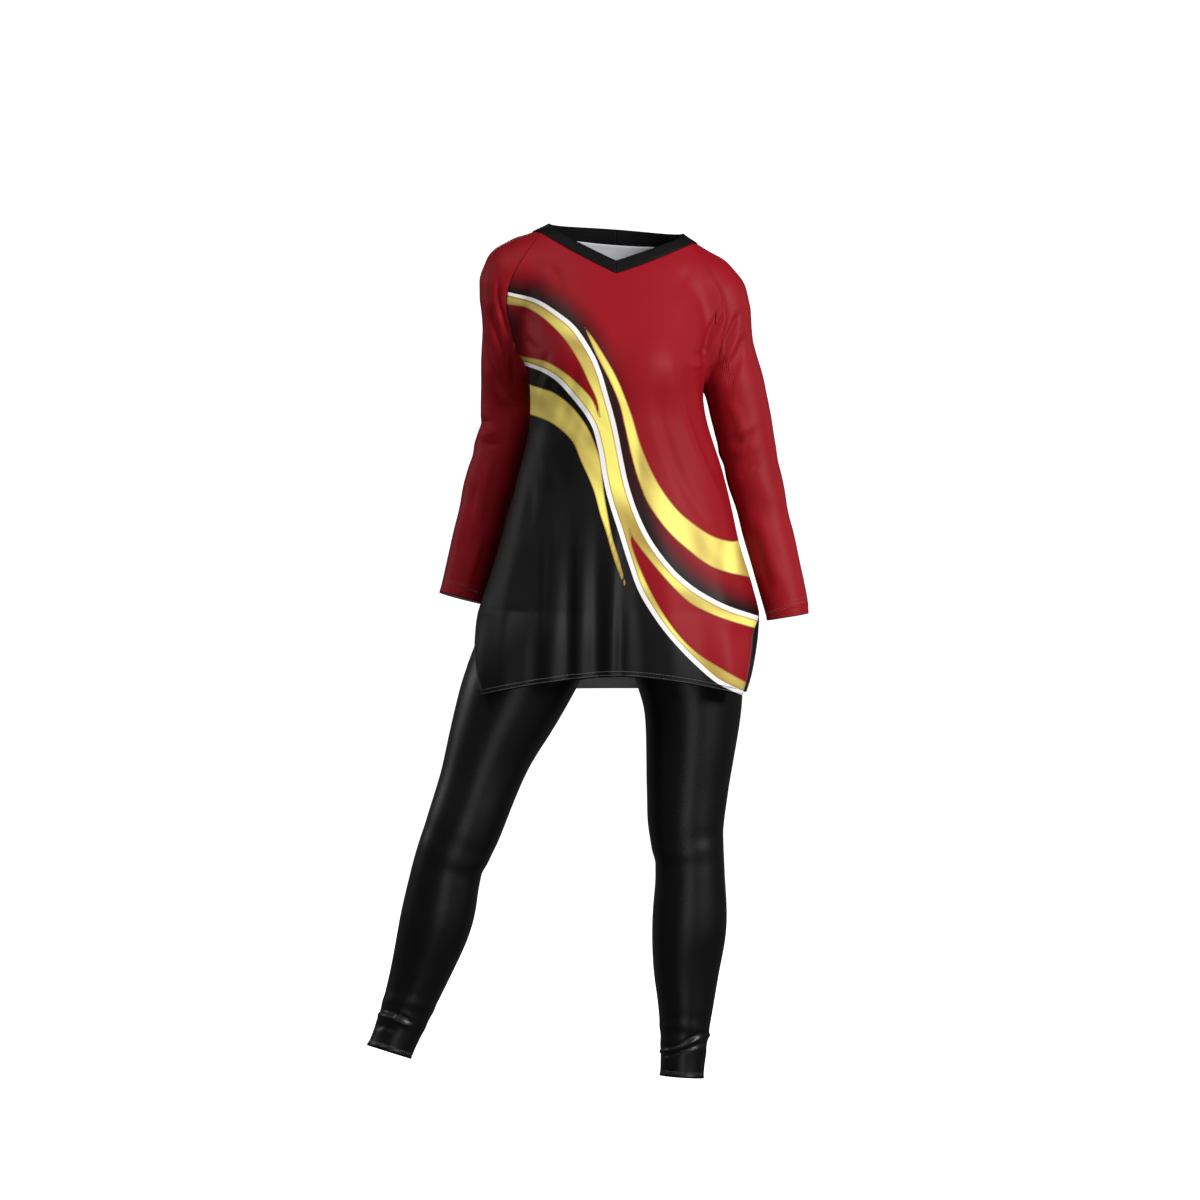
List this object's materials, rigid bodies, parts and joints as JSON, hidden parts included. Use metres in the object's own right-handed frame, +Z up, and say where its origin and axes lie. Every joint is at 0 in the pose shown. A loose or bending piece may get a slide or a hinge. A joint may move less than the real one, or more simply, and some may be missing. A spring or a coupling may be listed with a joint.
{
  "type": "cheer uniform",
  "caption": "Cheer uniform in its worn shape: long-sleeved V-neck raglan tunic with side slits and a swooping red, black, gold and white print, and black full-length leggings.",
  "frame": {"origin": "middle of the leggings' waist opening, level with the top edge of the waistband", "axes": "+Z up the wearer's body; the front of the uniform faces -Y; +X is the wearer's left"},
  "size_m": [0.7077, 0.2763, 1.3538],
  "materials": {
    "red_knit": "satin",
    "printed_knit": "satin",
    "black_knit": "satin",
    "black_rib": "matte",
    "woven_elastic": "matte"
  },
  "bodies": {
    "leggings": {"waistband": "black_knit", "waist_elastic": "woven_elastic", "waistband_facing": "black_knit", "left_seat": "black_knit", "right_seat": "black_knit", "crotch_gusset": "black_knit"},
    "left_leg_cloth": {"left_leg": "black_knit", "left_ankle_hem": "black_knit"},
    "right_leg_cloth": {"right_leg": "black_knit", "right_ankle_hem": "black_knit"},
    "tunic": {"front_bodice": "printed_knit", "back_bodice": "red_knit", "neckband_left": "black_rib", "neckband_right": "black_rib", "left_shoulder": "red_knit", "right_shoulder": "red_knit"},
    "left_sleeve_cloth": {"left_sleeve": "red_knit", "left_cuff_hem": "red_knit"},
    "right_sleeve_cloth": {"right_sleeve": "red_knit", "right_cuff_hem": "red_knit"},
    "front_flap": {"front_skirt": "printed_knit", "front_skirt_hem": "printed_knit"},
    "back_flap": {"back_skirt": "black_knit", "back_skirt_hem": "black_knit"}
  },
  "joints": [
    {"name": "tunic_lift", "type": "slide", "parent": "leggings", "child": "tunic", "axis": [0, 0, 1], "range_m": [0, 0.36]},
    {"name": "left_sleeve_swing", "type": "hinge", "parent": "tunic", "child": "left_sleeve_cloth", "pos_m": [0.16, 0.01, 0.288], "axis": [0, -1, 0], "range_deg": [0, 60]},
    {"name": "right_sleeve_swing", "type": "hinge", "parent": "tunic", "child": "right_sleeve_cloth", "pos_m": [-0.16, 0.01, 0.312], "axis": [0, 1, 0], "range_deg": [0, 60]},
    {"name": "front_flap_swing", "type": "hinge", "parent": "tunic", "child": "front_flap", "pos_m": [0, -0.13, -0.255], "axis": [-1, 0, 0], "range_deg": [0, 35]},
    {"name": "back_flap_swing", "type": "hinge", "parent": "tunic", "child": "back_flap", "pos_m": [0, 0.142, -0.255], "axis": [1, 0, 0], "range_deg": [0, 35]},
    {"name": "left_leg_swing", "type": "hinge", "parent": "leggings", "child": "left_leg_cloth", "pos_m": [0.092, 0, -0.2], "axis": [0, -1, 0], "range_deg": [0, 15]},
    {"name": "right_leg_swing", "type": "hinge", "parent": "leggings", "child": "right_leg_cloth", "pos_m": [-0.097, 0, -0.2], "axis": [0, -1, 0], "range_deg": [0, 12]}
  ]
}
